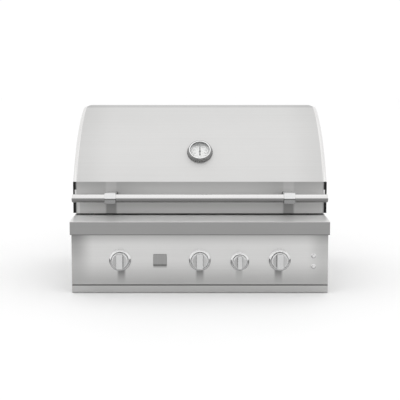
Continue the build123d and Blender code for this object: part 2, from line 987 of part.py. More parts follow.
with BuildPart() as top_trim:
    with BuildSketch(Plane((0, (ledge_rear + base_back) / 2, trim_foot))):
        Rectangle(ledge_width, base_back - ledge_rear)
    extrude(amount=trim_thickness)
    block(
        (-chamber_half, chamber_half),
        (ledge_rear - overrun, chamber_back + liner_sheet),
        (trim_foot - overrun, ledge_top + overrun),
        mode=Mode.SUBTRACT,
    )
    rod(
        Plane((feed_inlet_x, feed_y, trim_foot)),
        feed_radius + free_gap,
        trim_thickness,
        mode=Mode.SUBTRACT,
    )
    for side in (-1, 1):
        for row in range(trim_screw_rows):
            seat = Plane(
                (
                    side * (base_width / 2 + trim_screw_inset),
                    ledge_rear + trim_screw_front + row * trim_screw_spacing,
                    ledge_top,
                )
            )
            screw_planes.append(seat)
            rod(seat, screw_hole, -screw_depth - free_gap, mode=Mode.SUBTRACT)

# Hinge brackets stand on the trim and carry the hinge pins
pin_radius = 4.0
pin_head_radius = 7.0
pin_head = 2.0
pin_tail = 2.0
bracket_sheet = 3.0
bracket_boss = 11.0
bracket_inset = 7.0
bracket_foot_front = 45.0
bracket_foot_back = 6.0
bracket_tab = 16.0
bracket_outer = skin_half - bracket_inset
foot_screw_inset = 10.0

with BuildPart() as hinge_brackets:
    for side in (-1, 1):
        foot_length = bracket_foot_front - bracket_foot_back
        foot_y = pin_y - (bracket_foot_front + bracket_foot_back) / 2
        with BuildSketch(Plane.YZ.offset(side * bracket_outer)):
            with Locations((pin_y, pin_z)):
                Circle(bracket_boss)
            with Locations((foot_y, ledge_top + bracket_sheet / 2)):
                Rectangle(foot_length, bracket_sheet)
            make_hull()
        extrude(amount=-side * bracket_sheet)
        tab_outer = side * (bracket_outer - bracket_sheet)
        tab_inner = tab_outer - side * bracket_tab
        block(
            (tab_inner, tab_outer),
            (foot_y - foot_length / 2, foot_y + foot_length / 2),
            (ledge_top, ledge_top + bracket_sheet),
        )
        rod(
            facing_side(side * bracket_outer, pin_y, pin_z, -side),
            pin_radius + running,
            bracket_sheet,
            mode=Mode.SUBTRACT,
        )
        for end in (-1, 1):
            spot = (
                (tab_inner + tab_outer) / 2,
                foot_y + end * (foot_length / 2 - foot_screw_inset),
            )
            screw_planes.append(Plane((*spot, ledge_top + bracket_sheet)))
            rod(
                Plane((*spot, ledge_top)), screw_hole, bracket_sheet, mode=Mode.SUBTRACT
            )
keep(hinge_brackets, "hinge_brackets")
keep(top_trim, "top_trim")

with BuildPart() as hinge_pins:
    for side in (-1, 1):
        inner = bracket_outer - bracket_sheet - pin_tail
        shank = hood_half + free_gap - inner
        turned(
            facing_side(side * inner, pin_y, pin_z, side),
            [
                (0, 0),
                (pin_radius, 0),
                (pin_radius, shank),
                (pin_head_radius, shank),
                (pin_head_radius, shank + pin_head / 2),
                (pin_head_radius - pin_head / 2, shank + pin_head),
                (0, shank + pin_head),
            ],
        )
keep(hinge_pins, "hinge_pins")

# Every pan head screw of the body's sheets and valves
with BuildPart() as screws:
    for seat in screw_planes:
        turned(
            seat, screw_outline(screw_shank, screw_head, screw_rise, screw_depth)
        )
    for seat in bonnet_screws:
        turned(
            seat,
            screw_outline(
                bonnet_screw_radius, bonnet_screw_head, bonnet_screw_rise, bonnet_sheet
            ),
        )
keep(screws, "screws")

# Drip tray: a folded front strip, a pan and side lips that ride on the rails
tray_floor_gap = 1.5
tray_panel_gap = 1.0
tray_front_depth = 10.0
tray_inset = 52.0
pan_foot = 4.0
pan_head = 24.0
pan_room = 60.0
pan_corner = 6.0
lip_width = 13.0
rail_room = 16.5
rail_shelf = 13.5
rail_end_room = 16.0
rail_bend = 2.0
pan_back = base_back - pan_room
tray_half = base_width / 2 - tray_inset
rail_half = tray_half + rail_room

with BuildPart() as drip_tray:
    strip_foot = tray_floor_gap
    strip_head = panel_sill - tray_panel_gap
    with BuildSketch(facing_front(0, panel_front, (strip_foot + strip_head) / 2)):
        Rectangle(panel_width, strip_head - strip_foot)
    extrude(amount=-tray_front_depth)
    fillet(drip_tray.faces().sort_by(Axis.Y)[0].edges(), panel_bend)
    offset(amount=-outer_sheet, openings=drip_tray.faces().sort_by(Axis.Y)[-1])
    pan_front = panel_front + outer_sheet
    pan_middle = (pan_front + pan_back) / 2
    with BuildSketch(Plane((0, pan_middle, pan_foot))):
        RectangleRounded(2 * tray_half, pan_back - pan_front, pan_corner)
    extrude(amount=pan_head - pan_foot)
    with BuildSketch(Plane((0, pan_middle, pan_foot + liner_sheet))):
        RectangleRounded(
            2 * (tray_half - liner_sheet),
            pan_back - pan_front - 2 * liner_sheet,
            pan_corner - liner_sheet,
        )
    extrude(amount=pan_head, mode=Mode.SUBTRACT)
    for side in (-1, 1):
        block(
            (side * (tray_half - liner_sheet), side * (tray_half + lip_width)),
            (pan_front + tray_front_depth, pan_back - pan_corner),
            (pan_head - liner_sheet, pan_head),
        )
keep(drip_tray, "drip_tray")

with BuildPart() as tray_rails:
    shelf_top = pan_head - liner_sheet - free_gap
    for side in (-1, 1):
        with BuildSketch(Plane.XZ):
            with BuildLine():
                FilletPolyline(
                    (side * rail_half, outer_sheet),
                    (side * rail_half, shelf_top),
                    (side * (rail_half - rail_shelf), shelf_top),
                    radius=rail_bend,
                )
                offset(
                    amount=outer_sheet,
                    side=Side.LEFT if side > 0 else Side.RIGHT,
                    closed=True,
                )
            make_face()
        extrude(amount=base_depth / 2 - rail_end_room, both=True)
keep(tray_rails, "tray_rails")

# Hood skin and back: one rolled sheet split where the flat top ends
skin_return = 18.0
back_sill_lift = 3.0
return_inset = 18.0
gauge_tilt = 40.5
gauge_hole = 8.0
liner_gap = 16.5
hood_liner_sheet = 1.0
liner_side_gap = 0.3
notch_lift = 15.0
seam_y = hood_back - rear_radius
back_sill = pin_z + back_sill_lift
return_half = skin_half - return_inset
gauge_angle = math.radians(gauge_tilt)
gauge_plane = Plane(
    origin=(
        0,
        arc_y - hood_radius * math.cos(gauge_angle),
        arc_z + hood_radius * math.sin(gauge_angle),
    ),
    x_dir=(1, 0, 0),
    z_dir=(0, -math.cos(gauge_angle), math.sin(gauge_angle)),
)

with BuildPart() as hood_skin:
    extrude(hood_outline(Plane.YZ, 0, hood_sill), amount=skin_half, both=True)
    extrude(
        hood_outline(Plane.YZ, hood_sheet, hood_sill - overrun),
        amount=skin_half,
        both=True,
        mode=Mode.SUBTRACT,
    )
    split(bisect_by=Plane((0, seam_y, 0), z_dir=(0, 1, 0)), keep=Keep.BOTTOM)
    block(
        (-skin_half, skin_half),
        (band_front, band_front + skin_return),
        (hood_sill, hood_sill + hood_sheet),
    )
    rod(gauge_plane.offset(-gauge_hole), gauge_hole, 2 * gauge_hole, mode=Mode.SUBTRACT)
keep(hood_skin, "hood_skin")

with BuildPart() as hood_rear:
    extrude(hood_outline(Plane.YZ, 0, back_sill), amount=skin_half, both=True)
    extrude(
        hood_outline(Plane.YZ, hood_sheet, back_sill - overrun),
        amount=skin_half,
        both=True,
        mode=Mode.SUBTRACT,
    )
    split(bisect_by=Plane((0, seam_y, 0), z_dir=(0, 1, 0)), keep=Keep.TOP)
    block(
        (-return_half, return_half),
        (hood_back - liner_gap - hood_sheet - hood_liner_sheet, hood_back),
        (back_sill, back_sill + hood_sheet),
    )
keep(hood_rear, "hood_rear")

with BuildPart() as hood_liner:
    liner_half = skin_half - liner_side_gap
    liner_inset = hood_sheet + liner_gap
    liner_sill = hood_sill + hood_sheet
    liner_back_sill = back_sill + hood_sheet
    extrude(
        hood_outline(Plane.YZ, liner_inset, liner_sill), amount=liner_half, both=True
    )
    extrude(
        hood_outline(Plane.YZ, liner_inset + hood_liner_sheet, liner_sill - overrun),
        amount=liner_half,
        both=True,
        mode=Mode.SUBTRACT,
    )
    block(
        (-hood_half, hood_half),
        (chamber_middle, hood_back),
        (liner_sill - overrun, liner_back_sill),
        mode=Mode.SUBTRACT,
    )
    for side in (-1, 1):
        block(
            (side * return_half, side * hood_half),
            (chamber_middle, hood_back),
            (liner_sill - overrun, pin_z + notch_lift),
            mode=Mode.SUBTRACT,
        )
    rod(
        gauge_plane.offset(-2 * liner_inset),
        gauge_hole,
        2 * liner_inset,
        mode=Mode.SUBTRACT,
    )
keep(hood_liner, "hood_liner")

# Hood end caps: hollow shells with a rounded rim, set back at the lower band
cap_wall = 1.5
cap_recess = 8.0
cap_boss = 10.0

for side, label in ((-1, "hood_cap_left"), (1, "hood_cap_right")):
    root_plane = Plane.YZ.offset(side * skin_half)
    with BuildPart() as cap_hollow:
        extrude(
            hood_outline(root_plane.offset(-side * overrun), cap_wall, hood_sill - overrun),
            amount=side * (rim_width + overrun - cap_wall),
        )
        end_face = cap_hollow.faces().sort_by(Axis.X)[0 if side < 0 else -1]
        rim_edges = end_face.edges().filter_by(
            lambda edge: edge.center().Z > band_top
            or edge.center().Y > chamber_back
        )
        fillet(rim_edges, rim_radius - cap_wall)
    with BuildPart() as hood_cap:
        extrude(
            hood_outline(root_plane, 0, hood_sill), amount=side * rim_width
        )
        heel = hood_cap.edges().filter_by(Axis.X).sort_by(
            lambda edge: edge.center().Y - edge.center().Z
        )[-1]
        fillet(heel, hinge_setback)
        end_face = hood_cap.faces().sort_by(Axis.X)[0 if side < 0 else -1]
        rim_edges = end_face.edges().filter_by(
            lambda edge: edge.center().Z > band_top
            or edge.center().Y > chamber_back
        )
        fillet(rim_edges, rim_radius)
        add(cap_hollow.part, mode=Mode.SUBTRACT)
        block(
            (side * (skin_half - overrun), side * (hood_half + overrun)),
            (band_front - overrun, band_front + cap_recess),
            (hood_sill - overrun, band_top),
            mode=Mode.SUBTRACT,
        )
        boss_start = facing_side(side * skin_half, pin_y, pin_z, side)
        rod(boss_start, cap_boss, rim_width - cap_wall)
        rod(boss_start, pin_radius + running, rim_width, mode=Mode.SUBTRACT)
    keep(hood_cap, label)

# Rubber bumpers under the hood's front edge
bumper_radius = 5.0
bumper_inset = 48.0
bumper_x = skin_half - bumper_inset

with BuildPart() as hood_bumpers:
    for side in (-1, 1):
        seat = Plane(
            (side * bumper_x, band_front + skin_return / 2, ledge_top + free_gap)
        )
        rod(seat, bumper_radius, hood_gap - free_gap)
keep(hood_bumpers, "hood_bumpers")

# Handle: a round bar in two clamps on arms
clamp_width = 36.0
clamp_height = 35.0
clamp_depth = 36.0
clamp_round = 3.0
clamp_lift = 1.5
seam_drop = 2.5
seam_width = 0.9
seam_depth = 1.2
arm_width = 32.0
arm_height = 24.0
foot_width = 36.0
foot_height = 26.0
foot_sheet = 3.0
bar_round = 2.0
bar_y = band_front - bar_standoff
bar_z = ledge_top + bar_rise

with BuildPart() as handle_bar:
    rod(facing_side(-bar_length / 2, bar_y, bar_z, 1), bar_radius, bar_length)
    fillet(handle_bar.edges().filter_by(GeomType.CIRCLE), bar_round)
keep(handle_bar, "handle_bar")

with BuildPart() as handle_brackets:
    for side in (-1, 1):
        x = side * clamp_spacing / 2
        clamp_z = bar_z + clamp_lift
        with BuildPart(mode=Mode.PRIVATE) as clamp:
            block(
                (x - clamp_width / 2, x + clamp_width / 2),
                (bar_y - clamp_depth / 2, bar_y + clamp_depth / 2),
                (clamp_z - clamp_height / 2, clamp_z + clamp_height / 2),
            )
            fillet(clamp.edges(), clamp_round)
        add(clamp.part)
        with BuildSketch(Plane((x, bar_y, bar_z - seam_drop))):
            Rectangle(clamp_width + overrun, clamp_depth + overrun)
            Rectangle(
                clamp_width - 2 * seam_depth,
                clamp_depth - 2 * seam_depth,
                mode=Mode.SUBTRACT,
            )
        extrude(amount=seam_width, mode=Mode.SUBTRACT)
        block(
            (x - arm_width / 2, x + arm_width / 2),
            (bar_y + bar_radius, band_front),
            (bar_z - arm_height / 2, bar_z + arm_height / 2),
        )
        with BuildSketch(facing_front(x, band_front, bar_z)):
            RectangleRounded(foot_width, foot_height, foot_sheet)
        extrude(amount=foot_sheet)
        rod(
            facing_side(x - clamp_width, bar_y, bar_z, 1),
            bar_radius + running,
            2 * clamp_width,
            mode=Mode.SUBTRACT,
        )
keep(handle_brackets, "handle_brackets")

# Thermometer: heights count from the hood's skin along its normal
gauge_flange = 42.4
gauge_flange_sheet = 3.0
gauge_belly = 41.6
gauge_neck = 37.6
gauge_radius = 35.8
gauge_rise = 17.5
gauge_lip = 1.2
gauge_bore = 31.4
knurl_count = 36
knurl_length = 10.0
knurl_reach = 2.4
dial_height = 4.5
dial_sheet = 1.0
dial_hole = 1.3
needle_gap = 0.4
needle_sheet = 0.8
needle_length = 18.5
needle_tail = 13.0
needle_width = 3.6
tail_width = 1.4
tail_radius = 2.6
hub_radius = 2.6
hub_height = 2.0
spindle_radius = 1.0
spindle_depth = 4.0
lens_height = 13.5
lens_sheet = 1.6
probe_radius = 3.0
probe_length = 75.0
nut_radius = 10.0
nut_height = 7.0

with BuildPart() as thermometer_case:
    turned(
        gauge_plane,
        [
            (probe_radius + running, -gauge_flange_sheet),
            (gauge_flange, -gauge_flange_sheet),
            (gauge_flange, gauge_flange_sheet / 2),
            (gauge_belly, gauge_flange_sheet),
            (gauge_neck, gauge_rise - 2 * gauge_lip),
            (gauge_radius, gauge_rise - 2 * gauge_lip),
            (gauge_radius, gauge_rise - gauge_lip),
            (gauge_radius - gauge_lip, gauge_rise),
            (gauge_bore + gauge_lip, gauge_rise),
            (gauge_bore, gauge_rise - gauge_lip),
            (gauge_bore, dial_height),
            (probe_radius + running, dial_height),
        ],
    )
    with BuildSketch(gauge_plane.offset(gauge_flange_sheet), mode=Mode.PRIVATE) as knurl:
        with PolarLocations(gauge_belly, knurl_count):
            RegularPolygon(knurl_reach, 4)
    extrude(knurl.sketch, amount=knurl_length, mode=Mode.SUBTRACT)
    extrude(
        hood_outline(Plane.YZ, 0, hood_sill),
        amount=gauge_flange + overrun,
        both=True,
        mode=Mode.SUBTRACT,
    )
keep(thermometer_case, "thermometer_case")

with BuildPart() as thermometer_dial:
    with BuildSketch(gauge_plane.offset(dial_height)):
        Circle(gauge_bore - running)
        Circle(dial_hole, mode=Mode.SUBTRACT)
    extrude(amount=dial_sheet)
keep(thermometer_dial, "thermometer_dial")

with BuildPart() as thermometer_needle:
    needle_height = dial_height + dial_sheet + needle_gap
    with BuildSketch(gauge_plane.offset(needle_height)):
        with BuildLine():
            Polyline(
                (-tail_width / 2, -needle_tail),
                (tail_width / 2, -needle_tail),
                (needle_width / 2, 0),
                (tail_width / 2, needle_length),
                (-tail_width / 2, needle_length),
                (-needle_width / 2, 0),
                close=True,
            )
        make_face()
        with Locations((0, -needle_tail)):
            Circle(tail_radius)
    extrude(amount=needle_sheet)
    rod(gauge_plane.offset(needle_height), hub_radius, hub_height)
    rod(
        gauge_plane.offset(dial_height - spindle_depth),
        spindle_radius,
        spindle_depth + dial_sheet + needle_gap + needle_sheet,
    )
keep(thermometer_needle, "thermometer_needle")

with BuildPart() as thermometer_lens:
    rod(gauge_plane.offset(lens_height), gauge_bore - running, lens_sheet)
keep(thermometer_lens, "thermometer_lens")

with BuildPart() as thermometer_probe:
    rod(gauge_plane.offset(dial_height), probe_radius, -dial_height - probe_length)
    rod(
        gauge_plane.offset(dial_height),
        spindle_radius + running,
        -spindle_depth - free_gap,
        mode=Mode.SUBTRACT,
    )
    with BuildSketch(gauge_plane.offset(-hood_sheet - free_gap)):
        RegularPolygon(nut_radius, 6)
        Circle(probe_radius + running, mode=Mode.SUBTRACT)
    extrude(amount=-nut_height)
keep(thermometer_probe, "thermometer_probe")
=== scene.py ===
import math

import bmesh
import bpy
from mathutils import Matrix, Vector


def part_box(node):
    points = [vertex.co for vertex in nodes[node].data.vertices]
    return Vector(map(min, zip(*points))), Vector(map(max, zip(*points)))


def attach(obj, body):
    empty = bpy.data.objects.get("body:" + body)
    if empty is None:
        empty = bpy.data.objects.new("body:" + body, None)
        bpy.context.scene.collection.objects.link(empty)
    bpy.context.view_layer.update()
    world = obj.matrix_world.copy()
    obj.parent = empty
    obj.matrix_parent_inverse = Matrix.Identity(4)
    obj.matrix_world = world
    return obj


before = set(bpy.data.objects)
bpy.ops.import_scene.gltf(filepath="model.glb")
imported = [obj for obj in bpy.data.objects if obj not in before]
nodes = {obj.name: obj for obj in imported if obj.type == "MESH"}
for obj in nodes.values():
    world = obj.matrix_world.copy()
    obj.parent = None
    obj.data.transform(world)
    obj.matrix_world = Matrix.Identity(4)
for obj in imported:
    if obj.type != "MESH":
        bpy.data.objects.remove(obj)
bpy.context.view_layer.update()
MM = 0.001

# Places on the grill, in metres, that the finishes and the added pieces follow
BAND_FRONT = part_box("hood_skin")[0].y
HOOD_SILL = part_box("hood_skin")[0].z
HOOD_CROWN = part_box("hood_skin")[1].z
SKIN_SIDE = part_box("hood_skin")[1].x
CAP_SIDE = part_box("hood_cap_right")[1].x
BAND_HEIGHT = 104 * MM
BAND_TOP = HOOD_SILL + BAND_HEIGHT
PANEL_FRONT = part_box("control_panel")[0].y
PANEL_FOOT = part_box("control_panel")[0].z
PANEL_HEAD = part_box("front_ledge")[0].z
LEDGE_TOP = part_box("front_ledge")[1].z
BAR_MIDDLE = (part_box("handle_bar")[0].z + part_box("handle_bar")[1].z) / 2
CLAMP_SEAM = BAR_MIDDLE - 2 * MM
CLAMP_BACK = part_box("handle_brackets")[0].y + 36 * MM
CLAMP_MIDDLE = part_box("handle_brackets")[1].x - 18 * MM

# A knob's sizes: its ring's and its skirt's radius, half its grip's width, and its painted shadow's
# depth
BIG_KNOB = {"ring": 34.3 * MM, "skirt": 25 * MM, "grip": 10.5 * MM, "shadow": 0.68}
SMALL_KNOB = {"ring": 29.5 * MM, "skirt": 21 * MM, "grip": 7.5 * MM, "shadow": 0.3}
KNOBS = {"left": BIG_KNOB, "center": BIG_KNOB, "rear_burner": SMALL_KNOB, "right": BIG_KNOB}
SKIRT_DEPTH = 13 * MM
BUTTONS = ("igniter_button", "rear_igniter_button")
BUTTON_RING = 9 * MM


def middle(name):
    """The x and z of the middle of a node."""
    low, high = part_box(name)
    return (low.x + high.x) / 2, (low.z + high.z) / 2


# Each ring's middle and radius
RINGS = [(*middle(f"knob_{name}"), size["ring"]) for name, size in KNOBS.items()]
RINGS += [(*middle(name), BUTTON_RING) for name in BUTTONS]

# The thermometer's dial leans back with the hood's skin
dial_low, dial_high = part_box("thermometer_dial")
dial_tilt = math.atan2(dial_high.y - dial_low.y, dial_high.z - dial_low.z)
DIAL_OUT = Vector((0, -math.cos(dial_tilt), math.sin(dial_tilt)))
DIAL_UP = Vector((0, math.sin(dial_tilt), math.cos(dial_tilt)))
DIAL_MIDDLE = (dial_low + dial_high) / 2


# Wires and finishes, which turn sums into shader nodes


class Wire:
    """One output of a finish's node tree, which can be used in sums."""

    def __init__(self, finish, socket):
        self.finish = finish
        self.socket = socket

    def sum(self, operation, *values):
        """Adds a Math node."""
        return self.finish.node("ShaderNodeMath", {"operation": operation}, values)

    def __add__(self, other):
        return self.sum("ADD", self, other)

    def __radd__(self, other):
        return self.sum("ADD", other, self)

    def __sub__(self, other):
        return self.sum("SUBTRACT", self, other)

    def __rsub__(self, other):
        return self.sum("SUBTRACT", other, self)

    def __mul__(self, other):
        return self.sum("MULTIPLY", self, other)

    def __rmul__(self, other):
        return self.sum("MULTIPLY", other, self)

    def __lt__(self, other):
        return self.sum("LESS_THAN", self, other)

    def ramp(self, low, high):
        """0 up to low, 1 from high on, and a smooth rise between."""
        return self.finish.node(
            "ShaderNodeMapRange",
            {"interpolation_type": "SMOOTHSTEP"},
            {"Value": self, "From Min": low, "From Max": high},
        )

    def size(self):
        return self.sum("ABSOLUTE", self)

    def root(self):
        return self.sum("SQRT", self)


class Finish:
    """A material whose Principled shader takes plain values and wires."""

    def __init__(self, name, **constants):
        self.material = bpy.data.materials.new(name)
        self.material.use_nodes = True
        self.tree = self.material.node_tree
        self.shader = self.tree.nodes["Principled BSDF"]
        self.set(**constants)
        place = self.tree.nodes.new("ShaderNodeTexCoord")
        self.place = Wire(self, place.outputs["Object"])
        apart = self.node("ShaderNodeSeparateXYZ", {}, [self.place])
        self.x, self.y, self.z = (
            Wire(self, apart.socket.node.outputs[axis]) for axis in "XYZ"
        )

    def plug(self, socket, value):
        """Links a wire to a socket, or sets the socket to a plain value."""
        if isinstance(value, Wire):
            self.tree.links.new(value.socket, socket)
        elif hasattr(socket.default_value, "__len__"):
            socket.default_value = list(value) + [1.0] * (
                len(socket.default_value) - len(value)
            )
        else:
            socket.default_value = value

    def node(self, kind, settings, values, out=0):
        """Adds a node: its settings first, then the values or wires of its sockets."""
        node = self.tree.nodes.new(kind)
        for key, value in settings.items():
            setattr(node, key, value)
        pairs = values.items() if isinstance(values, dict) else enumerate(values)
        for key, value in pairs:
            self.plug(node.inputs[key], value)
        return Wire(self, node.outputs[out])

    def set(self, **values):
        """Sets or links the shader's sockets by their names."""
        for key, value in values.items():
            self.plug(self.shader.inputs[key.replace("_", " ")], value)

    def mix(self, share, first, second):
        """The first colour where the share is 0, and the second where it is 1."""
        return self.node(
            "ShaderNodeMix", {"data_type": "RGBA"}, {0: share, 6: first, 7: second}, out=2
        )

    def stretched(self, scale):
        """The place, scaled by its own factor along each axis."""
        return self.node("ShaderNodeMapping", {}, {"Vector": self.place, "Scale": scale})

    def noise(self, scale, detail, roughness, spread=None):
        """Cloudy noise, finer as the scale grows; a spread draws it out along an axis."""
        vector = self.place if spread is None else self.stretched(spread)
        return self.node(
            "ShaderNodeTexNoise",
            {},
            {"Vector": vector, "Scale": scale, "Detail": detail, "Roughness": roughness},
        )

    def away(self, x, z):
        """Distance from a line that runs front to back through a point."""
        across, up = self.x - x, self.z - z
        return (across * across + up * up).root()

    def along(self, direction, start):
        """Distance from a starting point in a direction."""
        reach = self.node(
            "ShaderNodeVectorMath", {"operation": "DOT_PRODUCT"}, [self.place, direction], out=1
        )
        return reach - start.dot(direction)

    def bump(self, height, strength, distance):
        """A relief for the shader's Normal."""
        return self.node(
            "ShaderNodeBump",
            {},
            {"Height": height, "Strength": strength, "Distance": distance},
        )


def grey(value, warmth=0.0):
    """A grey that leans to yellow with its warmth."""
    return (value * (1 + warmth), value, value * (1 - warmth))


# Finishes


def brushed(name, value, roughness, along="X", shade_painter=None, streak=0.035, metal=1.0):
    """Brushed stainless sheet: fine long scratches, soft clouds and a little dirt, with painted light
    and shade from a shade painter where one is given.
    """
    finish = Finish(name, Metallic=metal)
    few, many = 5.0, 1150.0
    fine = {"X": (few, many, many), "Y": (many, few, many), "Z": (many, many, few)}[along]
    wide = tuple(value * 0.22 for value in fine)
    scratches = finish.noise(1.0, 3.0, 0.6, fine)
    bands = finish.noise(1.0, 2.0, 0.5, wide)
    clouds = finish.noise(6.0, 3.0, 0.55)
    shade = (
        value
        + (scratches - 0.5) * (value * streak * 2.2)
        + (bands - 0.5) * (value * streak * 2.0)
        + (clouds - 0.5) * (value * 0.07)
    )
    if shade_painter is not None:
        shade = shade * shade_painter(finish)
    colour = finish.node("ShaderNodeCombineColor", {}, [shade * 1.004, shade, shade * 0.992])
    rough = roughness + (scratches - 0.5) * 0.12 + (clouds - 0.5) * 0.08
    relief = finish.bump(scratches + bands * 0.5, 0.06, 0.4 * MM)
    finish.set(Base_Color=colour, Roughness=rough, Normal=relief)
    return finish.material


def hood_painted_shade(finish):
    """Painted shade: a darker straight band under the lid, lightest above the handle bar, with a
    painted shadow at the sill.
    """
    lid = finish.z.ramp(BAND_TOP - 0.5 * MM, BAND_TOP + 0.5 * MM)
    # painted shade: the lid darkens toward its ends and along its top line
    side = finish.x.size().ramp(280 * MM, 400 * MM)
    crown = finish.z.ramp(HOOD_CROWN - 2.8 * MM, HOOD_CROWN - 1.2 * MM)
    above = finish.z.ramp(BAR_MIDDLE - 6 * MM, BAR_MIDDLE + 2 * MM)
    low = 0.72 - finish.z.ramp(HOOD_SILL + 5 * MM, BAR_MIDDLE - 25 * MM) * 0.12
    high = 0.90 - finish.z.ramp(BAND_TOP - 37 * MM, BAND_TOP + 1 * MM) * 0.27
    high = high * (1 - finish.x.size().ramp(120 * MM, 300 * MM) * 0.1)
    # a painted lighter strip at the band's ends, below the bar
    strip = (1 - finish.x.ramp(8.5 * MM - SKIN_SIDE, 9.5 * MM - SKIN_SIDE)) * (1 - above)
    # painted reflections of the clamps: a light column above the bar and a dark one below
    behind = 1 - (finish.x.size() - CLAMP_MIDDLE - 4 * MM).size().ramp(13 * MM, 21 * MM)
    column = behind * (above * 0.17 - (1 - above) * 0.42)
    # a painted shadow along the sill
    sill = 1 - finish.z.ramp(HOOD_SILL + 0.3 * MM, HOOD_SILL + 1.8 * MM)
    band = (low * (1 - above) + high * above + strip * 0.16) * (1 + column) * (1 - sill * 0.7)
    return lid * (1 - side * 0.075 - crown * 0.22) + (1 - lid) * band


def panel_painted_shade(finish):
    """Painted shade: light near the panel's head but darker right under the ledge, falling off to its
    foot, its upper corners and below the knobs and the plate.
    """
    fall = 1 - finish.z.ramp(PANEL_FOOT + 8 * MM, PANEL_FOOT + 83 * MM)
    under = finish.z.ramp(PANEL_HEAD - 38 * MM, PANEL_HEAD)
    lip = finish.z.ramp(PANEL_HEAD - 8 * MM, PANEL_HEAD + 1 * MM)
    ends = finish.x.size().ramp(330 * MM, 390 * MM)
    ends = ends * finish.z.ramp(-10 * MM, PANEL_HEAD - 18 * MM)
    corner = ends * (0.43 - finish.x.ramp(-300 * MM, 300 * MM) * 0.16)
    shade = (1 - fall * 0.29 - under * 0.29 - lip * 0.2) * (1 - corner)
    # painted shadows below the knobs
    for name, size in KNOBS.items():
        x, z = middle(f"knob_{name}")
        ring = size["ring"]
        beside = (finish.x - x * 0.985).size().ramp(ring * 0.2, ring * 0.47)
        below = finish.z.ramp(z - ring * 2.8, z - ring * 0.76)
        share = below * below * (finish.z < z) * size["shadow"]
        shade = shade * (1 - (1 - beside) * share)
    # a painted shadow below the plate
    low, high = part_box("badge_plate")
    beside = (finish.x - middle("badge_plate")[0]).size().ramp(18 * MM, 24 * MM)
    below = finish.z.ramp(low.z - 9 * MM, low.z) * (finish.z < high.z - 9 * MM)
    return shade * (1 - (1 - beside) * below * 0.4)


def ledge_painted_shade(finish):
    """Painted shade: the ledge's upright face is darker than its top, and so are its foot and its
    tucked-in rear.
    """
    upright = 1 - finish.z.ramp(LEDGE_TOP - 1.3 * MM, LEDGE_TOP - 0.3 * MM)
    foot = 1 - finish.z.ramp(PANEL_HEAD + 1 * MM, PANEL_HEAD + 4 * MM)
    rear = finish.y.ramp(BAND_FRONT + 0.5 * MM, BAND_FRONT + 3 * MM)
    return (1 - upright * 0.665 - foot * 0.14) * (1 - rear * 0.93)


def bar_painted_shade(finish):
    """The handle bar's underside is darkened with painted shade and reflection."""
    return 1 - (1 - finish.z.ramp(BAR_MIDDLE + 0.5 * MM, BAR_MIDDLE + 3.5 * MM)) * 0.73


def tray_painted_shade(finish):
    """A painted shadow line runs along the head of the tray's front, under the panel."""
    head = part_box("drip_tray")[1].z
    return 1 - finish.z.ramp(head - 2.8 * MM, head - 1.2 * MM) * 0.6


def rim_painted_shade(finish):
    """Painted shade: the hood's end caps are greyer on their flat sides and in the recess beside the
    band.
    """
    flat = finish.x.size().ramp(CAP_SIDE - 1.8 * MM, CAP_SIDE - 0.4 * MM)
    beside = 1 - finish.x.size().ramp(CAP_SIDE - 6.5 * MM, CAP_SIDE - 5.5 * MM)
    recess = beside * (1 - finish.z.ramp(BAND_TOP - 1 * MM, BAND_TOP))
    return 1 - flat * 0.25 - recess * 0.55


def plate_painted_shade(finish):
    """The bare plate's lower edge is darkened with painted shade."""
    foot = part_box("badge_plate")[0].z
    return 1 - (1 - finish.z.ramp(foot + 5 * MM, foot + 8 * MM)) * 0.42


# The sheets below are one stainless steel; their greys differ partly as painted light and shade, each
# set to how its face is lit
hood_sheet = brushed("hood_sheet", 0.69, 0.55, shade_painter=hood_painted_shade)
panel_sheet = brushed("panel_sheet", 0.62, 0.36, shade_painter=panel_painted_shade)
ledge_sheet = brushed("ledge_sheet", 0.85, 0.4, shade_painter=ledge_painted_shade, metal=0.5)
tray_sheet = brushed("tray_sheet", 0.48, 0.34, shade_painter=tray_painted_shade)
body_sheet = brushed("body_sheet", 0.52, 0.38, along="Y")
rear_sheet = brushed("rear_sheet", 0.52, 0.38)
trim_sheet = brushed("trim_sheet", 0.55, 0.33, along="Y")
rim_sheet = brushed("rim_sheet", 0.77, 0.26, along="Y", shade_painter=rim_painted_shade, streak=0.02)
bar_steel = brushed("bar_steel", 0.77, 0.22, shade_painter=bar_painted_shade, streak=0.03)
plate_steel = brushed("plate_steel", 0.31, 0.3, along="Z", shade_painter=plate_painted_shade)


def satin(name, value, roughness, warmth=0.0, grain=400.0, shade_painter=None, metal=1.0):
    """Cast and tumbled metal with a fine even grain, with painted light and shade from a shade
    painter where one is given.
    """
    finish = Finish(name)
    fine = finish.noise(grain, 4.0, 0.6)
    patches = finish.noise(30.0, 3.0, 0.6)
    shade = value * 0.94 + fine * value * 0.06 + (patches - 0.5) * value * 0.1
    if shade_painter is not None:
        shade = shade * shade_painter(finish)
    colour = finish.node(
        "ShaderNodeCombineColor",
        {},
        [shade * (1 + warmth), shade, shade * (1 - warmth)],
    )
    finish.set(
        Base_Color=colour,
        Metallic=metal if isinstance(metal, float) else metal(finish),
        Roughness=roughness + (patches - 0.5) * 0.1,
        Normal=finish.bump(fine, 0.08, 0.3 * MM),
    )
    return finish.material


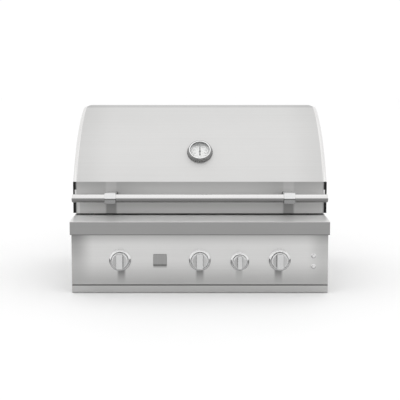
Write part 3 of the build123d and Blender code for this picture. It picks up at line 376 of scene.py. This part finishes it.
def clamp_painted_shade(finish):
    """Painted shade and reflection: the clamps' lower halves and the arms behind them are darker, and
    their seam is darkest.
    """
    lower = 1 - finish.z.ramp(CLAMP_SEAM + 3.2 * MM, CLAMP_SEAM + 4.0 * MM)
    seam = lower * finish.z.ramp(CLAMP_SEAM - 0.2 * MM, CLAMP_SEAM + 0.6 * MM)
    arm = finish.y.ramp(CLAMP_BACK, CLAMP_BACK + 1 * MM)
    return 1 - lower * 0.65 - seam * 0.18 - (1 - lower) * arm * 0.45


def bezel_painted_light(finish):
    """Painted light and shade: each ring is bright above and grey below, with a light inner wall."""

    def lit(x, z, radius):
        reach = finish.away(x, z)
        near = 1 - reach.ramp(radius, radius + 1 * MM)
        inner = 1 - reach.ramp(radius - 6.5 * MM, radius - 6 * MM)
        upper = (finish.z - z).ramp(-0.2 * radius, 0.35 * radius)
        return near * (upper * (1 - inner) + inner)

    return 0.48 + sum(lit(*ring) for ring in RINGS) * 0.5


def knob_zones(finish, name):
    """Where a knob's grip has walls, where its skirt is, and where the skirt's rim is."""
    x, z = middle(f"knob_{name}")
    radius = KNOBS[name]["skirt"]
    depth = finish.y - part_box(f"knob_{name}")[0].y
    walls = depth.ramp(1.0 * MM, 1.6 * MM)
    skirt = depth.ramp(SKIRT_DEPTH - 0.5 * MM, SKIRT_DEPTH - 0.1 * MM)
    rim = skirt * finish.away(x, z).ramp(radius - 2.6 * MM, radius - 2.1 * MM)
    return walls, skirt, rim


def knob_painted_shade(name):
    """Painted light and shade: a knob's grip is light on its face and dark on its sides, above a
    mid-grey skirt.
    """

    def shade(finish):
        walls, skirt, rim = knob_zones(finish, name)
        half = KNOBS[name]["grip"]
        across = finish.x - middle(f"knob_{name}")[0]
        side = walls * across.size().ramp(half - 2 * MM, half - 1.2 * MM)
        # a painted shadow groove on the skirt beside the grip, and the skirt painted darker on its
        # left
        groove = 1 - across.size().ramp(half + 0.5 * MM, half + 3.2 * MM)
        flat = 0.71 + across.ramp(-12 * MM, 12 * MM) * 0.12 - groove * 0.2
        disc = flat * (1 - rim) + rim * 1.25
        return (1 - skirt) * (1 - side * 0.68) + skirt * disc

    return shade


def knob_metal_share(name):
    """The skirt's rim and the grip's walls are duller than the turned faces."""

    def share(finish):
        walls, skirt, rim = knob_zones(finish, name)
        return 1 - walls * (1 - skirt) * 0.7 - rim * 0.8

    return share


knob_metals = {
    name: satin(
        f"knob_metal_{name}", 0.61, 0.24, shade_painter=knob_painted_shade(name), metal=knob_metal_share(name)
    )
    for name in KNOBS
}
bezel_metal = satin("bezel_metal", 0.97, 0.25, shade_painter=bezel_painted_light, metal=0.3)
button_metal = satin("button_metal", 0.70, 0.24)
clamp_metal = satin("clamp_metal", 0.80, 0.22, shade_painter=clamp_painted_shade)


def case_painted_shade(finish):
    """Painted light and shade: the thermometer's rim is bright, its knurled wall and its bore are
    dark, the wall darker toward its top and lighter at its foot.
    """
    height = finish.along(DIAL_OUT, DIAL_MIDDLE)
    above = finish.along(DIAL_UP, DIAL_MIDDLE)
    rim = height.ramp(11.6 * MM, 12.2 * MM)
    foot = 1 - height.ramp(-5.5 * MM, -2.5 * MM)
    mottle = finish.noise(260.0, 2.0, 0.5)
    wall = 0.31 - above.ramp(-12 * MM, 22 * MM) * 0.08 + (mottle - 0.5) * 0.3 + foot * 0.25
    return rim + (1 - rim) * wall


case_metal = satin("case_metal", 0.92, 0.2, shade_painter=case_painted_shade)
screw_metal = satin("screw_metal", 0.68, 0.28)
valve_metal = satin("valve_metal", 0.55, 0.5, grain=250.0)
zinc_metal = satin("zinc_metal", 0.5, 0.42, warmth=0.015)


def heated(name, value, roughness, seam):
    """Liner steel, straw and brown where the flames heat it."""
    finish = Finish(name, Metallic=1.0)
    smear = finish.noise(9.0, 5.0, 0.65)
    grain = finish.noise(700.0, 3.0, 0.6)
    heat = (finish.z * -6.0 + seam + (smear - 0.5) * 1.6).ramp(0.0, 1.6)
    plain = grey(value)
    straw = (value, value * 0.86, value * 0.66)
    brown = (value * 0.62, value * 0.47, value * 0.38)
    colour = finish.mix(heat.ramp(0.5, 1.0), finish.mix(heat, plain, straw), brown)
    colour = finish.mix(grain * 0.12, colour, grey(value * 0.55))
    finish.set(
        Base_Color=colour,
        Roughness=roughness + (smear - 0.5) * 0.2,
        Normal=finish.bump(grain, 0.1, 0.3 * MM),
    )
    return finish.material


liner_metal = heated("liner_metal", 0.55, 0.42, 1.1)
hood_lining = heated("hood_lining", 0.6, 0.4, 1.6)
grate_metal = heated("grate_metal", 0.52, 0.32, 1.5)
burner_metal = heated("burner_metal", 0.5, 0.4, 1.0)


def brass():
    """Turned brass with fine rings and darker patches."""
    finish = Finish("machined_brass", Metallic=1.0)
    rings = finish.noise(1.0, 2.0, 0.5, (60.0, 900.0, 60.0))
    patches = finish.noise(45.0, 4.0, 0.6)
    colour = finish.mix(patches.ramp(0.35, 0.8), (0.72, 0.52, 0.24), (0.50, 0.34, 0.16))
    finish.set(
        Base_Color=colour,
        Roughness=0.22 + rings * 0.16,
        Normal=finish.bump(rings, 0.08, 0.3 * MM),
    )
    return finish.material


MOULDED_GRAIN = 260.0


def moulded(name, value, roughness, warmth=0.0):
    """Plastic, rubber or paint with a fine moulded grain."""
    finish = Finish(name)
    grain = finish.noise(MOULDED_GRAIN, 4.0, 0.6)
    patches = finish.noise(25.0, 3.0, 0.6)
    light, dark = grey(value * 1.12, warmth), grey(value * 0.84, warmth)
    finish.set(
        Base_Color=finish.mix(patches, dark, light),
        Roughness=roughness + (grain - 0.5) * 0.16,
        Normal=finish.bump(grain, 0.12, 0.3 * MM),
    )
    return finish.material


def end_shade_strip():
    """Matt black with a grey margin on the side of the hood's band: a dark sheet of painted shade at
    the lower ends of the caps.
    """
    finish = Finish("end_shade_strip", Specular_IOR_Level=0.15)
    grain = finish.noise(MOULDED_GRAIN, 4.0, 0.6)
    black = finish.mix(grain, grey(0.010), grey(0.015))
    margin = 1 - finish.x.size().ramp(SKIN_SIDE + 3.0 * MM, SKIN_SIDE + 3.6 * MM)
    finish.set(
        Base_Color=finish.mix(margin, black, grey(0.33)),
        Roughness=0.7 + (grain - 0.5) * 0.16,
        Normal=finish.bump(grain, 0.12, 0.3 * MM),
    )
    return finish.material


# painted shade: the dark strips at the caps' lower ends
end_shade_black = end_shade_strip()
black_plastic = moulded("black_plastic", 0.035, 0.45)
rubber = moulded("rubber", 0.03, 0.75)
needle_paint = moulded("needle_paint", 0.03, 0.4)
dial_ink = moulded("dial_ink", 0.34, 0.6)
# the dark grey of the marks on the rings' sides
dark_ring_mark = moulded("dark_ring_mark", 0.14, 0.35)
ceramic = moulded("ceramic", 0.78, 0.3, warmth=0.03)


def dial_paint():
    """White printed card, with a painted shadow darkening it toward the top of the rim."""
    finish = Finish("dial_paint")
    fibre = finish.noise(320.0, 4.0, 0.6)
    patches = finish.noise(40.0, 2.0, 0.5)
    rim = finish.along(DIAL_UP, DIAL_MIDDLE).ramp(13 * MM, 30 * MM)
    card = finish.mix(fibre * 0.3 + patches * 0.2, (0.97, 0.97, 0.96), (0.9, 0.9, 0.89))
    finish.set(
        Base_Color=finish.mix(rim * 0.85, card, (0.12, 0.12, 0.12)),
        Roughness=0.55 + (fibre - 0.5) * 0.1,
    )
    return finish.material


def clear_glass():
    """A flat pane that is nearly clear, with a little dust."""
    finish = Finish("clear_glass", IOR=1.45)
    dust = finish.noise(120.0, 4.0, 0.6)
    finish.set(
        Base_Color=finish.mix(dust, (0.9, 0.92, 0.92), (0.98, 0.99, 0.99)),
        Roughness=0.02 + dust * 0.04,
        Alpha=0.08 + dust * 0.06,
    )
    return finish.material


def tile_and_frame():
    """The rear burner: a pale ceramic tile with flame holes inside a steel frame."""
    finish = Finish("tile_and_frame")
    low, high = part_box("rear_burner")
    x, z = middle("rear_burner")
    tile_half_width = high.x - x - 12.5 * MM
    tile_half_height = high.z - z - 12.5 * MM
    across = (finish.x - x).size().ramp(tile_half_width - 1 * MM, tile_half_width)
    up = (finish.z - z).size().ramp(tile_half_height - 1 * MM, tile_half_height)
    frame_share = finish.node("ShaderNodeMath", {"operation": "MAXIMUM"}, [across, up])
    holes = finish.node(
        "ShaderNodeTexVoronoi", {"feature": "F1"}, {"Vector": finish.place, "Scale": 260.0}
    )
    dots = 1 - holes.ramp(0.22, 0.34)
    smear = finish.noise(14.0, 4.0, 0.6)
    tile = finish.mix(dots, (0.72, 0.66, 0.56), (0.12, 0.1, 0.08))
    tile = finish.mix(smear.ramp(0.45, 0.8) * 0.4, tile, (0.4, 0.34, 0.28))
    steel = finish.mix(smear, grey(0.5), (0.5, 0.43, 0.34))
    finish.set(
        Base_Color=finish.mix(frame_share, tile, steel),
        Metallic=frame_share,
        Roughness=0.85 - frame_share * 0.45,
        Normal=finish.bump(dots, 0.3, 0.6 * MM),
    )
    return finish.material


brass_metal = brass()
dial_card = dial_paint()
glass = clear_glass()
tile_metal = tile_and_frame()

WEARS = {
    hood_sheet: ["hood_skin"],
    panel_sheet: ["control_panel"],
    ledge_sheet: ["front_ledge"],
    tray_sheet: ["drip_tray"],
    body_sheet: ["side_panel_left", "side_panel_right"],
    rear_sheet: ["back_panel", "hood_rear", "base_plate"],
    trim_sheet: ["top_trim", "hinge_brackets", "tray_rails"],
    rim_sheet: ["hood_cap_left", "hood_cap_right"],
    bar_steel: ["handle_bar"],
    plate_steel: ["badge_plate"],
    **{knob_metals[name]: [f"knob_{name}"] for name in KNOBS},
    bezel_metal: ["control_bezels"],
    button_metal: list(BUTTONS),
    clamp_metal: ["handle_brackets"],
    case_metal: ["thermometer_case", "thermometer_probe"],
    screw_metal: ["screws", "hinge_pins"],
    valve_metal: [f"valve_body_{name}" for name in KNOBS],
    zinc_metal: ["manifold_pipe"],
    liner_metal: [
        "firebox_left",
        "firebox_right",
        "firebox_front",
        "firebox_back",
        "grease_funnel",
        "flame_tamers",
    ],
    hood_lining: ["hood_liner"],
    grate_metal: [
        "cooking_grate_left",
        "cooking_grate_center",
        "cooking_grate_right",
        "warming_rack",
        "rack_stands",
    ],
    burner_metal: ["burner_left", "burner_center", "burner_right"],
    brass_metal: [f"valve_plug_{name}" for name in KNOBS] + ["rear_feed_pipe"],
    black_plastic: ["igniter_module"],
    rubber: ["hood_bumpers"],
    needle_paint: ["thermometer_needle"],
    ceramic: ["igniter_electrodes"],
    dial_card: ["thermometer_dial"],
    glass: ["thermometer_lens"],
    tile_metal: ["rear_burner"],
}

for material, names in WEARS.items():
    for name in names:
        mesh = nodes[name].data
        mesh.materials.clear()
        mesh.materials.append(material)


# Added pieces


def piece(name, mesh, material, body):
    """A new piece that moves with a body and takes its finish from a slot."""
    data = bpy.data.meshes.new(name)
    mesh.to_mesh(data)
    mesh.free()
    thing = bpy.data.objects.new(name, data)
    bpy.context.scene.collection.objects.link(thing)
    data.materials.append(material)
    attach(thing, body)


def slab(mesh, low, high, matrix=None):
    """Adds a box between two corners to a mesh, moved by a matrix."""
    size = Vector(high) - Vector(low)
    centre = (Vector(high) + Vector(low)) / 2
    corners = bmesh.ops.create_cube(mesh, size=1.0)["verts"]
    bmesh.ops.scale(mesh, vec=size, verts=corners)
    bmesh.ops.translate(mesh, vec=centre, verts=corners)
    if matrix is not None:
        bmesh.ops.transform(mesh, matrix=matrix, verts=corners)


def soften(mesh, width):
    """Rounds every edge of a mesh."""
    bmesh.ops.bevel(
        mesh,
        geom=mesh.edges[:],
        offset=width,
        segments=2,
        profile=0.5,
        affect="EDGES",
    )


def axes_at(origin, right, out):
    """A matrix whose X is right, Z is out and Y is up between them."""
    right, out = Vector(right).normalized(), Vector(out).normalized()
    up = out.cross(right)
    turn = Matrix((right, up, out)).transposed().to_4x4()
    return Matrix.Translation(Vector(origin)) @ turn


# The dial's print: fine and long ticks up to a thin ring, and numbers inside them
DIAL = axes_at(DIAL_MIDDLE + DIAL_OUT * 0.5 * MM, (1, 0, 0), DIAL_OUT)
DIAL_SWEEP = 270
DIAL_STEPS = 40
TICK_END = 28.5 * MM
LONG_TICK = {"start": 23.5 * MM, "half": 0.55 * MM}
SHORT_TICK = {"start": 26.0 * MM, "half": 0.3 * MM}
NUMBER_RADIUS = 19 * MM
NUMBER_SPACES = 7.2
FIRST_NUMBER = 0.6


def dial_turn(share):
    """The turn from the dial's top to a share of its scale, which starts at the lower left."""
    return math.radians(DIAL_SWEEP / 2 - share * DIAL_SWEEP)


ticks = bmesh.new()
for step in range(DIAL_STEPS + 1):
    tick = LONG_TICK if step % 5 == 0 else SHORT_TICK
    turn = DIAL @ Matrix.Rotation(dial_turn(step / DIAL_STEPS), 4, "Z")
    slab(ticks, (-tick["half"], tick["start"], 0), (tick["half"], TICK_END, 0.15 * MM), turn)
for step in range(DIAL_STEPS):
    turn = DIAL @ Matrix.Rotation(dial_turn((step + 0.5) / DIAL_STEPS), 4, "Z")
    slab(ticks, (-2.35 * MM, 28.4 * MM, 0), (2.35 * MM, 28.9 * MM, 0.12 * MM), turn)
piece("dial_ticks", ticks, dial_ink, "hood")

for index, number in enumerate(("100", "200", "300", "400", "500", "600", "700")):
    text = bpy.data.curves.new("dial_number_" + number, "FONT")
    text.body = number
    text.size = 5.6 * MM
    text.align_x = text.align_y = "CENTER"
    text.extrude = 0.06 * MM
    angle = dial_turn((index + FIRST_NUMBER) / NUMBER_SPACES)
    spot = (-math.sin(angle) * NUMBER_RADIUS, math.cos(angle) * NUMBER_RADIUS, 0.08 * MM)
    words = bpy.data.objects.new("dial_number_" + number, text)
    words.matrix_world = DIAL @ Matrix.Translation(spot)
    bpy.context.scene.collection.objects.link(words)
    text.materials.append(dial_ink)
    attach(words, "hood")

# Dark strips of painted shade, each with a small bright tab as a painted highlight, line the recesses
# of the end caps beside the band
strips = bmesh.new()
tabs = bmesh.new()
recess = BAND_FRONT + 8 * MM
for side in (-1, 1):
    near, far = sorted((side * (SKIN_SIDE + 0.4 * MM), side * (CAP_SIDE - 0.4 * MM)))
    slab(
        strips,
        (near, recess - 6.5 * MM, HOOD_SILL + 1.5 * MM),
        (far, recess - 0.05 * MM, BAND_TOP - 1 * MM),
    )
    near, far = sorted((side * (SKIN_SIDE + 1 * MM), side * (SKIN_SIDE + 7 * MM)))
    slab(
        tabs,
        (near, recess - 7.2 * MM, HOOD_SILL + 61 * MM),
        (far, recess - 6.4 * MM, HOOD_SILL + 78 * MM),
    )
soften(strips, 0.7 * MM)
soften(tabs, 0.25 * MM)
piece("hood_end_strips", strips, end_shade_black, "hood")
piece("hood_end_highlight_tabs", tabs, screw_metal, "hood")

# Each dark mark on a ring's side is a short stair of blocks that follows its curve
mark_rows = 5
row_height = 2.2 * MM
marks = bmesh.new()
for name, size in KNOBS.items():
    x, z = middle(f"knob_{name}")
    for side in (-1, 1):
        for row in range(mark_rows):
            lift = (row - mark_rows // 2) * row_height
            reach = math.sqrt(size["ring"] ** 2 - lift**2)
            near, far = sorted((x + side * (reach - 4.1 * MM), x + side * (reach - 1.1 * MM)))
            slab(
                marks,
                (near, PANEL_FRONT - 9.3 * MM, z + lift - row_height / 2),
                (far, PANEL_FRONT - 5.5 * MM, z + lift + row_height / 2),
            )
piece("bezel_marks", marks, dark_ring_mark, "root")

# A screen of upright and level wires stands in front of the rear burner
upright_wires = 40
level_wires = 7
wire_half = 0.6 * MM
screen_margin = 10 * MM
screen = bmesh.new()
low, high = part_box("rear_burner")
for column in range(upright_wires):
    x = low.x + 16 * MM + column * (high.x - low.x - 32 * MM) / (upright_wires - 1)
    slab(
        screen,
        (x - wire_half, low.y - 1.2 * MM, low.z + screen_margin),
        (x + wire_half, low.y - 0.2 * MM, high.z - screen_margin),
    )
for row in range(level_wires):
    z = low.z + 14 * MM + row * (high.z - low.z - 28 * MM) / (level_wires - 1)
    slab(
        screen,
        (low.x + screen_margin, low.y - 1.6 * MM, z - wire_half),
        (high.x - screen_margin, low.y - 0.8 * MM, z + wire_half),
    )
piece("rear_burner_screen", screen, grate_metal, "root")


# Stage, light and camera

floor_finish = Finish("studio_floor", Roughness=0.9)
speckle = floor_finish.noise(3.0, 2.0, 0.5)
floor_finish.set(Base_Color=floor_finish.mix(speckle, grey(0.97), grey(0.99)))

floor_mesh = bmesh.new()
bmesh.ops.create_circle(floor_mesh, cap_ends=True, segments=96, radius=14.0)
floor_data = bpy.data.meshes.new("studio_floor")
floor_mesh.to_mesh(floor_data)
floor_mesh.free()
floor = bpy.data.objects.new("studio_floor", floor_data)
floor_data.materials.append(floor_finish.material)
bpy.context.scene.collection.objects.link(floor)


def softbox(name, place, aim, size, power):
    """A rectangular lamp at a place, turned to its aim."""
    lamp = bpy.data.lights.new(name, "AREA")
    lamp.shape = "RECTANGLE"
    lamp.size, lamp.size_y = size
    lamp.energy = power
    thing = bpy.data.objects.new(name, lamp)
    bpy.context.scene.collection.objects.link(thing)
    thing.location = place
    thing.rotation_euler = (Vector(aim) - Vector(place)).to_track_quat("-Z", "Y").to_euler()


softbox("overhead_softbox", (0.3, -0.3, 3.0), (0, 0, 0.3), (3.2, 2.6), 2.5)
softbox("left_softbox", (-3.0, -1.6, 1.8), (0, 0, 0.3), (1.6, 1.8), 3)
softbox("right_softbox", (3.0, -1.2, 1.6), (0, 0, 0.3), (1.4, 1.6), 2.5)

world = bpy.data.worlds.new("studio")
world.use_nodes = True
world.node_tree.nodes["Background"].inputs["Color"].default_value = (1, 1, 1, 1)
world.node_tree.nodes["Background"].inputs["Strength"].default_value = 1.03
bpy.context.scene.world = world

# The camera stands 2.9 m in front of the grill and looks 5 degrees down
camera = bpy.data.cameras.new("camera")
camera.sensor_width = 36
camera.lens = 76.16
camera.shift_y = -0.1651
view = bpy.data.objects.new("camera", camera)
bpy.context.scene.collection.objects.link(view)
view.location = (0.0004, -2.8858, 0.7309)
view.rotation_euler = (math.radians(90 - 5), 0, 0)
bpy.context.scene.camera = view
bpy.context.scene.view_settings.view_transform = "Standard"
